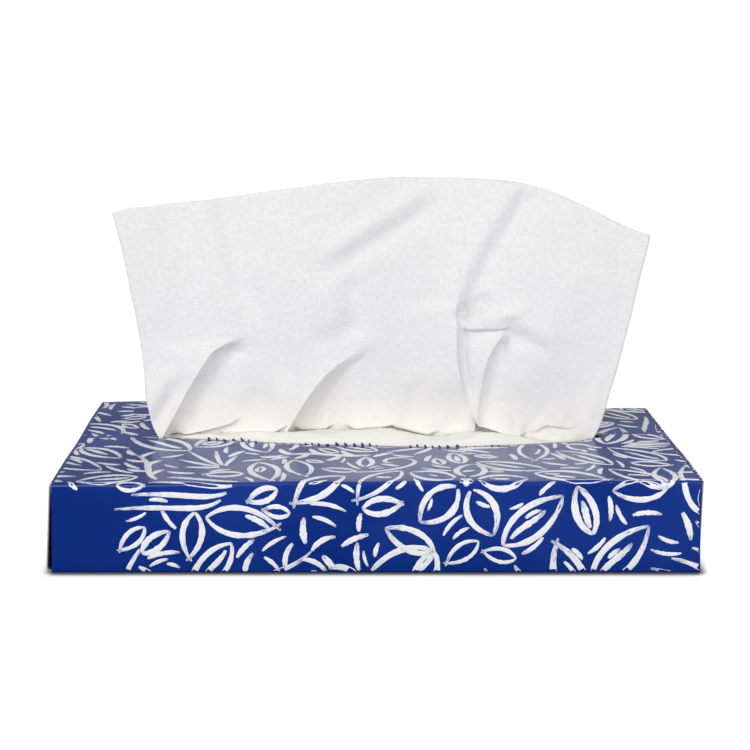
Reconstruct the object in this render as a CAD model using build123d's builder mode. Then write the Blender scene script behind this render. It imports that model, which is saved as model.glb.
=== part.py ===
"""A flat tissue box: a folded carton, its pile of interfolded tissues, and a tissue pulled half out."""

import os
from math import asin, degrees, hypot, pi, radians, sin

from build123d import *

# Carton
box_length = 230.0
box_depth = 115.0
box_height = 33.0
board = 0.45
fold_radius = 1.0
glue_gap = 0.1
glue_flap_height = 14.0
seam_lift = 0.35

# End flaps
flap_gap = 0.15
flap_inset = 1.3
flap_edge_gap = 0.9
flap_flare = 2.4
inner_flap_reach = 24.0
dust_flap_length = 42.0
hinge_overlap = 6.0

# Opening in the top, with the teeth left by its torn perforation
opening_length_share = 0.875
opening_width = 27.0
opening_shift_x = 3.0
opening_shift_y = 3.0
opening_tip_radius = 1.0
tear_pitch = 4.5
tear_depth = 0.75
tooth_corner_count = 4

# Tissues
tissue_end_room = 22.0
tissue_thickness = 0.3
pile_side_room = 9.0
pile_top_room = 6.2
pile_folds = 5
hem_inset = 1.5
hem_radius_share = 0.9

# Pulled tissue
standing_height = 102.1
base_bulge = 4.0
pleat_step = 6.0
pleat_overlap = 0.7
pleat_ease = 2.2
pleat_reach = 8.0
top_wave_depth = 2.6
top_wave_count = 5
pleat_lead_share = 0.66
pleat_ease_share = 0.4
pleat_brow_share = 0.9
sheet_fill_count = 3
foot_spread = 12.0
loop_reach = 27.0
loop_radius_share = 0.45

# Next tissue
swell_gap = 0.9
swell_min = 4.2
swell_start = 20.0
swell_height = 11.6
swell_run_up = 6.0
swell_lift_share = 0.08
flat_share = 0.02

# Print
ink = 0.08
leaf_length = 24.0
leaf_width = 10.0
leaf_hollow_share = 0.66
dash_length = 12.0
dash_width = 2.4
motif_column_count = 7
motif_margin = 15.0
motif_turn_angle = 137.5

# Pulled tissue at rising heights: height, left edge and right edge
outline_shares = [
    (-0.039, -0.413, 0.433),
    (0.0, -0.394, 0.413),
    (0.045, -0.404, 0.416),
    (0.1, -0.419, 0.426),
    (0.17, -0.424, 0.438),
    (0.26, -0.425, 0.453),
    (0.36, -0.432, 0.468),
    (0.47, -0.443, 0.482),
    (0.68, -0.463, 0.495),
    (1.04, -0.481, 0.51),
]

# Free top edge of the pulled tissue: position along it and height
top_edge_shares = [
    (-0.476, 0.871),
    (-0.409, 0.886),
    (-0.319, 0.902),
    (-0.228, 0.929),
    (-0.138, 0.958),
    (-0.048, 0.984),
    (0.042, 0.999),
    (0.132, 1.0),
    (0.223, 0.985),
    (0.277, 0.964),
    (0.332, 0.921),
    (0.406, 0.854),
    (0.461, 0.81),
    (0.501, 0.785),
]

# Pleats: position at the foot and at the head, height of the head, depth, and how open the foot is
pleat_shares = [
    (-0.381, -0.24, 0.44, 0.9, 0.08),
    (-0.168, -0.005, 0.46, 1.0, 0.42),
    (0.173, 0.232, 0.5, 0.85, 0.36),
]

# Swell of the next tissue: position along the opening and height
swell_shares = [
    (-0.8, 0.48),
    (-0.725, 0.72),
    (-0.52, 0.94),
    (-0.396, 0.86),
    (-0.231, 0.93),
    (0.011, 1.0),
    (0.154, 0.84),
    (0.286, 0.68),
    (0.407, 0.9),
    (0.516, 0.84),
    (0.593, 0.6),
    (0.692, 0.45),
    (0.8, 0.3),
]

# Section of the swell: position from its front to its rear and height
swell_section_shares = [
    (0.0, 0.42),
    (0.05, 0.66),
    (0.16, 0.84),
    (0.34, 0.96),
    (0.55, 1.0),
    (0.76, 0.94),
    (0.92, 0.78),
    (1.0, 0.42),
]

# Corners along one side of a printed leaf: along it and across it
lancet_shares = [(-0.5, 0), (-0.26, 0.38), (0, 0.5), (0.26, 0.38)]

# Rows of print: position from the middle of the panel
top_row_shares = [-0.375, -0.21, 0.265, 0.385]
side_row_shares = [0.5]

tissue_width = box_length - tissue_end_room
pile_width = box_depth - pile_side_room
pile_height = box_height - 2 * board - pile_top_room
opening_length = opening_length_share * tissue_width
motif_pitch = (box_length - 2 * motif_margin) / motif_column_count
half_box = box_length / 2
half_depth = box_depth / 2
half_tissue = tissue_width / 2
half_opening = opening_length / 2
opening_sag = opening_width / 2
opening_radius = (half_opening**2 + opening_sag**2) / (2 * opening_sag)
half_board = board / 2
fold_middle = fold_radius - half_board
top_middle = box_height - half_board
layer = board + flap_gap
panel_half = half_box - 2 * layer - fold_radius
pile_top = board + pile_height
rest_height = pile_top + 2 * tissue_thickness + tissue_thickness / 2
hem_radius = hem_radius_share * tissue_thickness
hem = (pile_width - tissue_thickness) / 2
tail_height = rest_height - tissue_thickness
foot_middle = box_height + outline_shares[0][0] * standing_height - tissue_thickness / 2
opening_plane = Plane((opening_shift_x, opening_shift_y, box_height))


def folded(plane, points, thickness, radius):
    """Section of a sheet folded along a run of points through the middle of its thickness."""
    with BuildSketch(plane) as section:
        with BuildLine():
            FilletPolyline(*points, radius=radius)
        trace(line_width=thickness)
    return section.sketch


def end_flaps(side, hinge, flare):
    """Sections of the two broad flaps of one end, the outer one hinged at a height."""
    root = side * (half_box - hinge_overlap)
    outer = side * (half_box - half_board)
    inner = side * (half_box - half_board - layer)
    other = box_height - hinge
    toward = 1 if hinge > other else -1
    outer_free = other + toward * flap_edge_gap
    inner_free = other + toward * inner_flap_reach
    outer_run = [(root, hinge), (outer + side * flare, hinge), (outer, outer_free)]
    inner_run = [(root, other), (inner, other), (inner, inner_free)]
    return (
        folded(Plane.XZ, outer_run, board, fold_middle),
        folded(Plane.XZ, inner_run, board, fold_middle),
    )


def dust_flap(side, facing):
    """Section of one dust flap, folded from the front or the back panel."""
    root = side * (half_box - hinge_overlap)
    fold = side * (half_box - half_board - 2 * layer)
    wall = facing * (half_depth - half_board)
    free = facing * (half_depth - dust_flap_length)
    run = [(root, wall), (fold, wall), (fold, free)]
    return folded(Plane.XY.offset(box_height / 2), run, board, fold_middle)


def beside(points, shift):
    """A run of points moved sideways by a distance."""
    moved = []
    for index, (across, along) in enumerate(points):
        before = points[max(index - 1, 0)]
        after = points[min(index + 1, len(points) - 1)]
        step_across = after[0] - before[0]
        step_along = after[1] - before[1]
        reach = shift / hypot(step_across, step_along)
        moved.append((across - step_along * reach, along + step_across * reach))
    return moved


def thin_section(plane, points):
    """Section of a tissue that follows a run of points."""
    one_side = beside(points, tissue_thickness / 2)
    other_side = beside(points, -tissue_thickness / 2)
    with BuildSketch(plane) as section:
        with BuildLine():
            Polyline(*one_side, *reversed(other_side), close=True)
        make_face()
    return section.sketch


def within_opening(x):
    """One at the middle of the opening, falling to nothing at its tips."""
    return max(1 - ((x - opening_shift_x) / half_opening) ** 2, 0)


def sheet_depth(x, rise):
    """How far back the pulled tissue stands, before its pleats."""
    bulge = base_bulge * within_opening(x) * max(1 - rise, 0)
    wave = top_wave_depth * rise * sin(top_wave_count * pi * x / tissue_width)
    return opening_shift_y + bulge + wave


def fill_run(run, end, count, rise):
    """Add points to a run of the pulled tissue, evenly spaced on the way to a place."""
    start = run[-1][0]
    for index in range(count):
        x = start + (end - start) * (index + 1) / (count + 1)
        run.append((x, sheet_depth(x, rise)))


def pulled_run(rise, left_share, right_share):
    """Run of points along the pulled tissue at one height, doubling back at each pleat."""
    left = left_share * tissue_width
    right = right_share * tissue_width
    run = [(left, sheet_depth(left, rise))]
    for foot_share, head_share, head_rise, step_share, open_share in pleat_shares:
        climb = min(max(rise / head_rise, 0), 1)
        fold = sin(pi * (open_share + (1 - open_share) * climb))
        x = (foot_share + (head_share - foot_share) * climb) * tissue_width
        lead = min(pleat_reach, pleat_lead_share * (x - run[-1][0]))
        lap = pleat_overlap * fold - min(pleat_ease, lead * pleat_ease_share) * (1 - fold)
        fill_run(run, x - lead, sheet_fill_count, rise)
        for shift, step_part in (
            (-lead, -1 / 2),
            (-lead / 2, -pleat_brow_share),
            (lap, -1),
            (-lap, 1),
            (pleat_reach / 2, pleat_brow_share),
            (pleat_reach, 1 / 2),
        ):
            y = sheet_depth(x + shift, rise) + step_part * pleat_step / 2 * step_share * fold
            run.append((x + shift, y))
    fill_run(run, right, sheet_fill_count, rise)
    run.append((right, sheet_depth(right, rise)))
    return run


def swell_run(x, height_share):
    """Run of points over the swell of the next tissue at one place along the opening."""
    lip = opening_shift_y - opening_sag * within_opening(x)
    rear = opening_shift_y - swell_gap
    front = min(lip + swell_gap, rear - swell_min)
    rise = height_share * swell_height
    run = [
        (-swell_start, rest_height),
        (front - swell_run_up, rest_height),
        (front - swell_run_up / 2, rest_height + rise * swell_lift_share),
    ]
    for run_share, rise_share in swell_section_shares:
        run.append((front + run_share * (rear - front), rest_height + rise_share * rise))
    return run


def lancet(length, width):
    """Corners of a pointed leaf shape."""
    upper = [(x * length, y * width) for x, y in lancet_shares]
    lower = [(-x, -y) for x, y in upper]
    return upper + lower


def motif_places(row_shares, depth, shift):
    """Places of a motif in staggered rows, each one turned on from the last."""
    places = []
    for row, row_share in enumerate(row_shares):
        for column in range(motif_column_count):
            x = (column + (row % 2 + shift) / 2) * motif_pitch - half_box + motif_margin
            places.append(Location((x, row_share * depth), len(places) * motif_turn_angle))
    return places


with BuildPart() as carton:
    wall = half_depth - half_board
    wrap_run = [
        (wall, seam_lift),
        (wall, top_middle),
        (-wall, top_middle),
        (-wall, half_board),
        (wall - board - glue_gap, half_board),
        (wall - board - glue_gap, glue_flap_height),
    ]
    extrude(folded(Plane.YZ, wrap_run, board, fold_middle), amount=panel_half, both=True)
    for side, hinge, flare in ((1, top_middle, 0), (-1, half_board, flap_flare)):
        for flap in end_flaps(side, hinge, flare):
            extrude(flap, amount=half_depth - flap_inset, both=True)
        for facing in (-1, 1):
            flap_half = box_height / 2 - board - flap_edge_gap
            extrude(dust_flap(side, facing), amount=flap_half, both=True)
    # Long pointed opening, with a row of torn teeth along each side
    with BuildSketch(opening_plane):
        with BuildLine():
            ThreePointArc((-half_opening, 0), (0, -opening_sag), (half_opening, 0))
            ThreePointArc((half_opening, 0), (0, opening_sag), (-half_opening, 0))
        make_face()
        fillet(vertices(), radius=opening_tip_radius)
        sweep_angle = 2 * degrees(asin(half_opening / opening_radius))
        teeth = int(radians(sweep_angle) * opening_radius / tear_pitch)
        for facing in (-1, 1):
            first_angle = 90 * facing - sweep_angle / 2
            with Locations((0, -facing * (opening_radius - opening_sag))):
                with PolarLocations(opening_radius, teeth, first_angle, sweep_angle):
                    RegularPolygon(tear_depth, tooth_corner_count)
    extrude(amount=-2 * board, mode=Mode.SUBTRACT)

with BuildPart() as tissue_pile:
    with BuildSketch(Plane.YZ.offset(-half_tissue)):
        with Locations((0, board + pile_height / 2)):
            with GridLocations(0, pile_height / pile_folds, 1, pile_folds):
                SlotOverall(pile_width, pile_height / pile_folds)
    extrude(amount=tissue_width)

with BuildPart() as next_tissue:
    # Lower half on the pile, fold at the front, and upper half as far as the swell
    next_run = [
        (hem - hem_inset, rest_height - 2 * tissue_thickness),
        (-hem, rest_height - 2 * tissue_thickness),
        (-hem, rest_height),
        (-swell_start, rest_height),
    ]
    extrude(folded(Plane.YZ, next_run, tissue_thickness, hem_radius), amount=half_tissue, both=True)
    # Upper half swelling up through the opening
    swell_sections = [thin_section(Plane.YZ.offset(-half_tissue), swell_run(-half_tissue, flat_share))]
    for place_share, height_share in swell_shares:
        x = opening_shift_x + place_share * half_opening
        swell_sections.append(thin_section(Plane.YZ.offset(x), swell_run(x, height_share)))
    swell_sections.append(thin_section(Plane.YZ.offset(half_tissue), swell_run(half_tissue, flat_share)))
    loft(swell_sections, ruled=True)

with BuildPart() as pulled_tissue:
    # Standing half, gathered at the opening
    standing_sections = []
    for rise, left_share, right_share in outline_shares:
        height = box_height + rise * standing_height
        run = pulled_run(rise, left_share, right_share)
        standing_sections.append(thin_section(Plane.XY.offset(height), run))
    loft(standing_sections, ruled=True)
    # Free edge along the top
    with BuildSketch(Plane.XZ):
        with BuildLine():
            top_edge = Spline(*[
                (place * tissue_width, box_height + rise * standing_height)
                for place, rise in top_edge_shares
            ])
            Polyline(
                top_edge @ 1,
                (half_tissue + pleat_reach, (top_edge @ 1).Y),
                (half_tissue + pleat_reach, 0),
                (-half_tissue - pleat_reach, 0),
                (-half_tissue - pleat_reach, (top_edge @ 0).Y),
                top_edge @ 0,
            )
        make_face()
    extrude(amount=half_depth, both=True, mode=Mode.INTERSECT)

    # Trailing half: back over the pile from the foot, and round a loop to the front
    foot_run = beside(pulled_run(*outline_shares[0]), -tissue_thickness / 2)
    loop_rise = foot_middle - tail_height
    with BuildSketch(Plane.XY.offset(foot_middle - tissue_thickness / 2)):
        with BuildLine():
            Polyline(
                *foot_run,
                (half_tissue, foot_spread),
                (half_tissue, loop_reach - loop_rise),
                (-half_tissue, loop_reach - loop_rise),
                (-half_tissue, foot_spread),
                close=True,
            )
        make_face()
    extrude(amount=tissue_thickness)
    tail_run = [
        (hem_inset - hem, tail_height),
        (loop_reach, tail_height),
        (loop_reach, foot_middle),
        (loop_reach - 2 * loop_rise, foot_middle),
    ]
    tail = folded(Plane.YZ, tail_run, tissue_thickness, loop_rise * loop_radius_share)
    extrude(tail, amount=half_tissue, both=True)

with BuildPart() as printed_leaves:
    for panel, row_shares, depth in (
        (Plane.XY.offset(box_height), top_row_shares, box_depth),
        (Plane.XZ.offset(half_depth), side_row_shares, box_height),
        (Plane.XZ.rotated((0, 0, 180)).offset(half_depth), side_row_shares, box_height),
    ):
        with BuildSketch(panel):
            with Locations(motif_places(row_shares, depth, 0)):
                Polygon(*lancet(leaf_length, leaf_width))
                Polygon(
                    *lancet(leaf_length * leaf_hollow_share, leaf_width * leaf_hollow_share),
                    mode=Mode.SUBTRACT,
                )
            with Locations(motif_places(row_shares, depth, 1)):
                Polygon(*lancet(dash_length, dash_width))
        extrude(amount=ink)

os.makedirs("parts", exist_ok=True)
for piece, name in (
    (carton, "carton"),
    (tissue_pile, "tissue_pile"),
    (next_tissue, "next_tissue"),
    (pulled_tissue, "pulled_tissue"),
    (printed_leaves, "printed_leaves"),
):
    piece.part.label = name
    export_step(piece.part, f"parts/{name}.step")
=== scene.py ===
"""Dress the flat tissue box: its printed carton, its pile of tissues, the next tissue and the pulled one."""

import math

import bmesh
import bpy
import numpy as np
from bpy.props import FloatProperty, FloatVectorProperty, IntProperty, PointerProperty
from mathutils import Matrix


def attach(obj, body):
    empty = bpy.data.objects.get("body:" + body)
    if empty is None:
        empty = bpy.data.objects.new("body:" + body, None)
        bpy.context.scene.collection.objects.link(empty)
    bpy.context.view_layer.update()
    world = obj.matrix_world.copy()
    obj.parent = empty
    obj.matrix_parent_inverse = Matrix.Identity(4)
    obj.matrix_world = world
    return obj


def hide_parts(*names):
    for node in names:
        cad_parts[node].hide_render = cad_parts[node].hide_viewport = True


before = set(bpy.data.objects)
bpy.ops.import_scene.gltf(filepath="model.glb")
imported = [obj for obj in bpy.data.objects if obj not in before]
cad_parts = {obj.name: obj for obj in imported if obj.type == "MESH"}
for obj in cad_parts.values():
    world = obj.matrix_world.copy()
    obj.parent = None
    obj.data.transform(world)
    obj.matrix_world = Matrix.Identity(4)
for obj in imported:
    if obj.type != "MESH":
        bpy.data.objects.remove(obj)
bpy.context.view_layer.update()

bl_info = {
    "name": "Flat tissue box",
    "version": (1, 0, 0),
    "blender": (4, 5, 0),
    "location": "View3D > Sidebar > Tissue box",
    "description": "Builds the printed carton and the tissues of a flat tissue box",
    "category": "Object",
}

# Shapes are worked out in millimetres, and their meshes are in metres
MM = 0.001

# Carton, as it is folded
WRAP_FOLD_RADIUS = 1.4
FOLD_STEPS = 7
FLAP_FOLD_RADIUS = 0.8
INNER_FOLD_RADIUS = 0.5
DUST_FOLD_RADIUS = 0.45
BOWED_FOLD_RADIUS = 2.2
GLUE_FLAP_RISE = 14.0
GLUE_FLAP_SET_IN = 0.55
SEAM_LIFT = 0.35
PANEL_SET_IN = 1.3
INNER_FLAP_SET_IN = 0.6
INNER_FLAP_REACH = 24.2
OUTER_FLAP_GAP = 1.1
OUTER_FLAP_FLARE = 2.2
OUTER_FLAP_LEAN = 0.1
FLAP_SIDE_GAP = 1.3
DUST_FLAP_SET_IN = 0.8
DUST_FLAP_LENGTH = 42.0
DUST_FLAP_GAP = 1.35

# Lift of the top's corners, front left and right, then back left and right
CORNER_LIFTS = ((-0.1, 1.3), (1.6, -1.4))
CORNER_FLARE = 1.36
BACK_BOW = 0.8
LIP_LIFT = 0.9
UNEVEN_DEPTH = 0.16

# Opening and its torn teeth
OPENING_CENTRE = (2.2, 3.0)
OPENING_HALF_LENGTH = 89.8
OPENING_SAG = 13.5
TEAR_WANDER = 9.0
TOOTH_PITCH = 3.1
TOOTH_DEPTH = 0.75

# Tabs that the tissue bends up along the opening's front edge
TAB_SPAN = (-66, 62)
TAB_STEP = 0.3
TAB_HEIGHT = 1.5
TAB_LEAST = 0.12
TAB_BEND = (-0.45, 0.45, 0.9)
TAB_THICKNESS = 0.2

# Print, with its distances from panel edges and from the bare place at the front's left end
PRINT_TRIES = 12000
LARGE_SHARE = 0.3
GROUND_CELL = 0.5
PAINT_OVERLAP = 5.0
PRINT_BOTTOM_GAP = 0.8
PRINT_SEAM_GAP = 0.6
PRINT_SIDE_GAP = 0.3
PRINT_TEAR_GAP = 0.9
BARE_LOW = 1.0
BARE_TOP = -3.5
BARE_REACH = 22.0

# Heights and reaches of the sheets inside
PILE_TOP = 26.35
PILE_FOLDS = 12
PILE_SET_IN = 1.3
PILE_SCALLOP = 1.2
NEXT_LOWER = 26.5
NEXT_UPPER = 27.1
NEXT_FOLD_RADIUS = 0.28
NEXT_START = -22.0
TAIL_HEIGHT = 26.8
TAIL_FOLD_RADIUS = 0.95
FOOT_HEIGHT = 28.87
FOOT_START = 23.0
PILE_HALF_DEPTH = 53.0
HEM_REACH = 51.35
LOOP_REACH = 27.0
FOOT_BULGE = 3.4
SHEET_PITCH = 1.25
HIDDEN_PITCH = 9.0

# Stage: the camera's place in millimetres and its angles in degrees
CAMERA_PLACE = (-5.2, -583.5, 192.8)
CAMERA_TURN = -0.49
CAMERA_TILT = 12.92
CAMERA_ROLL = 0.17
FLOOR_HALF = 6000
WHITE = (1.0, 1.0, 1.0)
WARM_WHITE = (1.0, 0.99, 0.98)
BACKDROP_STRENGTH = 1.05

# Lights: name, place and size in metres, share of the key light's power, and colour
LIGHTS = (
    ("key", (-0.85, -1.15, 0.68), (1.5, 1.2), 1.0, WARM_WHITE),
    ("back", (0.6, 1.0, 1.2), (1.2, 1.2), 0.5, WHITE),
    ("fill", (0.9, -1.1, 0.45), (0.9, 0.9), 0.52, WHITE),
)


def blend(low, high, value):
    """Nothing below low and one above high, with an eased rise between them."""
    share = np.clip((np.asarray(value, float) - low) / (high - low), 0, 1)
    return share * share * (3 - 2 * share)


def mound(value, middle, width):
    """A bell curve: one at the middle, falling away over the width."""
    return np.exp(-(((np.asarray(value, float) - middle) / width) ** 2))


def swirl(across, along, seed, size, count=14):
    """A smooth random field of about plus and minus one: a sum of waves with random directions and phases.
    Each wave's length is between 0.7 and 1.6 times the size."""
    random = np.random.default_rng(seed)
    heading = random.uniform(0, 2 * np.pi, count)
    number = 2 * np.pi / (size * random.uniform(0.7, 1.6, count))
    phase = random.uniform(0, 2 * np.pi, count)
    sideways = np.multiply.outer(across, number * np.cos(heading))
    onward = np.multiply.outer(along, number * np.sin(heading))
    return np.cos(sideways + onward + phase).sum(-1) * math.sqrt(2 / count)


def along_table(value, table):
    """Read a table of positions and values, with straight lines between its rows."""
    table = np.asarray(table, float)
    return np.interp(value, table[:, 0], table[:, 1])


def smooth_table(value, table, width):
    """Read a table as along_table does, averaged over five places up to a width to either side."""
    offsets = np.linspace(-width, width, 5)
    return sum(along_table(value + offset, table) for offset in offsets) / len(offsets)


def spread(*parts):
    """Points from coordinates that are first stretched to one shape."""
    return np.stack(np.broadcast_arrays(*parts), -1)


def rounded_run(corners, radius):
    """Points and directions along straight lines with rounded corners. Each corner is the square-weighted
    blend of the corner and the two points a radius away from it on its lines."""
    corners = np.asarray(corners, float)
    back = corners[:-2] - corners[1:-1]
    ahead = corners[2:] - corners[1:-1]
    back = radius * back / np.linalg.norm(back, axis=1, keepdims=True)
    ahead = radius * ahead / np.linalg.norm(ahead, axis=1, keepdims=True)
    t = np.linspace(0, 1, FOLD_STEPS)[None, :, None]
    points = corners[1:-1, None] + back[:, None] * (1 - t) ** 2 + ahead[:, None] * t**2
    directions = ahead[:, None] * t - back[:, None] * (1 - t)
    first, last = corners[1] - corners[0], corners[-1] - corners[-2]
    points = np.vstack([corners[:1], points.reshape(-1, 2), corners[-1:]])
    directions = np.vstack([first[None], directions.reshape(-1, 2), last[None]])
    return points, directions / np.linalg.norm(directions, axis=1, keepdims=True)


def run_table(corners, radius, facing=1):
    """Distance, two coordinates and two parts of the outward normal, for every point of a rounded run."""
    points, directions = rounded_run(corners, radius)
    steps = np.linalg.norm(np.diff(points, axis=0), axis=1)
    distance = np.concatenate([[0], np.cumsum(steps)])
    return np.column_stack([distance, points, -facing * directions[:, 1], facing * directions[:, 0]])


def fold_row(fold, step):
    """Row of a run's table that holds a step of one of its folds."""
    return 1 + fold * FOLD_STEPS + step


def run_rows(table, spacing):
    """Distances for the rows of a strip: every point of its run, and more along its straight parts."""
    distance = table[:, 0]
    counts = np.maximum(np.ceil(np.diff(distance) / spacing).astype(int), 1)
    parts = [np.linspace(a, b, n, endpoint=False) for a, b, n in zip(distance, distance[1:], counts)]
    return np.concatenate([*parts, distance[-1:]])


def read_run(table, distance):
    """Coordinates and normals of a run at any distances along it, between the points of its table."""
    return [np.interp(distance, table[:, 0], table[:, column]) for column in (1, 2, 3, 4)]


def grid_faces(rows, columns, start=0):
    """Corner numbers of the four-sided faces of a grid of points, row after row."""
    row, column = np.meshgrid(np.arange(rows - 1), np.arange(columns - 1), indexing="ij")
    corner = start + row * columns + column
    faces = np.stack([corner, corner + 1, corner + columns + 1, corner + columns], -1)
    return faces.reshape(-1, 4)


def join_grids(grids, inside):
    """One array of points and one of faces from several grids. Each grid's faces look away from an inside
    point, judged on their sum."""
    points, faces, start = [], [], 0
    for grid in grids:
        flat = grid.reshape(-1, 3)
        new = grid_faces(*grid.shape[:2])
        a, b, c, d = (flat[new[:, corner]] for corner in range(4))
        outward = ((a + c) / 2 - np.asarray(inside, float)) * np.cross(c - a, d - b)
        points.append(flat)
        faces.append((new if outward.sum() >= 0 else new[:, ::-1]) + start)
        start += len(flat)
    return np.vstack(points), np.vstack(faces)


def make_piece(name, points, faces, materials, uv=None, merge=0.0):
    """Put points in millimetres and their faces into a new object at the origin."""
    mesh = bpy.data.meshes.new(name)
    mesh.vertices.add(len(points))
    mesh.vertices.foreach_set("co", (points * MM).astype(np.float32).ravel())
    sides = faces.shape[1]
    mesh.loops.add(faces.size)
    mesh.loops.foreach_set("vertex_index", faces.astype(np.int32).ravel())
    mesh.polygons.add(len(faces))
    mesh.polygons.foreach_set("loop_start", np.arange(0, faces.size, sides, dtype=np.int32))
    mesh.polygons.foreach_set("loop_total", np.full(len(faces), sides, dtype=np.int32))
    mesh.update(calc_edges=True)
    if uv is not None:
        layer = mesh.uv_layers.new(name="UVMap")
        layer.data.foreach_set("uv", uv[faces.ravel()].astype(np.float32).ravel())
    if merge:
        work = bmesh.new()
        work.from_mesh(mesh)
        bmesh.ops.remove_doubles(work, verts=work.verts, dist=merge * MM)
        work.to_mesh(mesh)
        work.free()
    mesh.validate()
    mesh.polygons.foreach_set("use_smooth", np.ones(len(mesh.polygons), dtype=bool))
    for material in materials:
        mesh.materials.append(material)
    piece = bpy.data.objects.new(name, mesh)
    bpy.context.scene.collection.objects.link(piece)
    return piece


def thicken(piece, thickness, offset, board=False):
    """Give a surface its thickness in millimetres, and board its inside and its cut edge."""
    wall = piece.modifiers.new("thickness", "SOLIDIFY")
    wall.thickness = thickness * MM
    wall.offset = offset
    if board:
        wall.material_offset = 1
        wall.material_offset_rim = 2


# Carton


def carton_size():
    """Half length, half depth and height of the carton in millimetres."""
    sizes = bpy.context.scene.tissue_box_carton
    return sizes.length / MM / 2, sizes.depth / MM / 2, sizes.height / MM


def settle(points):
    """Twist of the filled carton: each height is scaled by the lift of the top above it, which is the
    corner lifts blended along and across, with a bow at the back edge and a rise at the opening's lip."""
    half_length, half_depth, height = carton_size()
    x, y, z = points[..., 0], points[..., 1], points[..., 2]
    along = x / half_length / 2 + 0.5
    back = y / half_depth / 2 + 0.5
    front_lift, back_lift = (left * (1 - along) + right * along for left, right in CORNER_LIFTS)
    lift = front_lift * (1 - back) + back_lift * back
    lift = lift + BACK_BOW * mound(x, -38, 45) * blend(0.3, 1, back)
    lift = lift + LIP_LIFT * mound(x, -42, 38) * mound(y, -2, 16)
    uneven = UNEVEN_DEPTH * swirl(x + 0.6 * z, y, 5, 46) * blend(0, 12, z)
    high = blend(20, 33, z)
    return spread(x, y + 0.7 * uneven * (1 - high) * np.sign(y), z * (1 + lift / height) + uneven * high)


def wrap_table():
    """Run of the wrap's outer face, from the glue flap round the bottom, front and top to the back seam.
    Distance nothing is at the fold between the front and the top."""
    _, back, top = carton_size()
    inner = back - GLUE_FLAP_SET_IN
    corners = ((inner, GLUE_FLAP_RISE), (inner, 0), (-back, 0), (-back, top), (back, top), (back, SEAM_LIFT))
    table = run_table(corners, WRAP_FOLD_RADIUS)
    table[:, 0] -= table[fold_row(2, FOLD_STEPS // 2), 0]
    return table


def on_wrap(across, distance, lift=0.0):
    """Point on the wrap: across the carton, a distance along its run, and a lift off its outer face. The
    front and back panels are a little wider at the bottom, where the pile pushes their ends out."""
    half_length, _, height = carton_size()
    y, z, normal_y, normal_z = read_run(wrap_table(), distance)
    flare = CORNER_FLARE * (1 - z / height) * blend(46, 56, np.abs(y))
    return settle(spread(across * (1 + flare / half_length), y + normal_y * lift, z + normal_z * lift))


def opening_share(x):
    """One at the middle of the opening and nothing at its ends, by the square of the distance."""
    return np.clip(1 - ((x - OPENING_CENTRE[0]) / OPENING_HALF_LENGTH) ** 2, 0, 1)


def tear_phase(x, seed):
    """Phase of the wave of teeth along a torn edge, its pitch a little uneven."""
    return 2 * np.pi * x / TOOTH_PITCH + 1.3 * swirl(x, 0, seed, 17)


def opening_edges(x):
    """Front and back edge of the opening: a lens on a middle line that bends back where the tear ran on at
    the right end, with clusters of teeth. A tooth is the peak of a wave, sharpened by a power."""
    share = opening_share(x)
    middle = OPENING_CENTRE[1] + TEAR_WANDER * blend(76, 95, x)
    cluster = 0.35 + 0.65 * blend(-0.4, 0.5, swirl(x, 0, 21, 30))
    sag = OPENING_SAG * share
    edges = []
    for side, seed in ((-1, 3), (1, 8)):
        tooth = np.clip(np.sin(tear_phase(x, seed)), 0, 1) ** 1.5 + 0.25 * swirl(x, 0, seed + 40, 2.2)
        teeth = TOOTH_DEPTH * cluster * blend(0, 0.06, share) * tooth * blend(0, 1.5, sag)
        edges.append(middle + side * (sag + teeth))
    return edges


def wrap_grids():
    """Two grids of the wrap, one up to the front edge of the opening and one from its back edge. Their rows
    lie along the run, and those of the top are spread between the fold and the opening's edge by a power."""
    half = carton_size()[0] - PANEL_SET_IN
    table = wrap_table()
    across = np.linspace(-half, half, 336)
    front_edge, back_edge = opening_edges(across)
    front_fold, front_y = table[fold_row(2, FOLD_STEPS - 1), :2]
    back_fold, back_y = table[fold_row(3, 0), :2]
    rows = run_rows(table, 5.0)
    level = np.repeat(rows[:, None], len(across), 1)
    share = np.linspace(0, 1, 18)[1:, None] ** 0.8
    front = [level[rows <= front_fold + 1e-6], front_fold + share * (front_edge - front_y)]
    share = 1 - np.linspace(0, 1, 15)[:-1, None] ** 1.2
    back = [back_fold - share * (back_y - back_edge), level[rows >= back_fold - 1e-6]]
    return [on_wrap(across, np.vstack(part)) for part in (front, back)]


def flap_tables():
    """Runs of the end flaps' outer faces in X and Z, each with how far its outside faces: the outer flap of
    the right end comes from the top, and that of the left end from the bottom, bowed out at its fold."""
    end, _, top = carton_size()
    root = end - PANEL_SET_IN
    inner = end - INNER_FLAP_SET_IN
    bowed = end + OUTER_FLAP_FLARE
    lean = end - OUTER_FLAP_LEAN
    drop = top - INNER_FLAP_REACH
    flaps = {
        "right_outer": (((root, top), (end, top), (lean, OUTER_FLAP_GAP)), FLAP_FOLD_RADIUS, 1),
        "right_inner": (((root, 0), (inner, 0), (inner, INNER_FLAP_REACH)), INNER_FOLD_RADIUS, -1),
        "left_outer": (((-root, 0), (-bowed, 0), (-lean, top - OUTER_FLAP_GAP)), BOWED_FOLD_RADIUS, 1),
        "left_inner": (((-root, top), (-inner, top), (-inner, drop)), INNER_FOLD_RADIUS, -1),
    }
    return {name: run_table(*flap) for name, flap in flaps.items()}


def on_flap(name, across, distance, lift=0.0):
    """Point on an end flap: across it, a distance down from its root, and a lift off its outer face."""
    x, z, normal_x, normal_z = read_run(flap_tables()[name], distance)
    return settle(spread(x + normal_x * lift, across, z + normal_z * lift))


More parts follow.
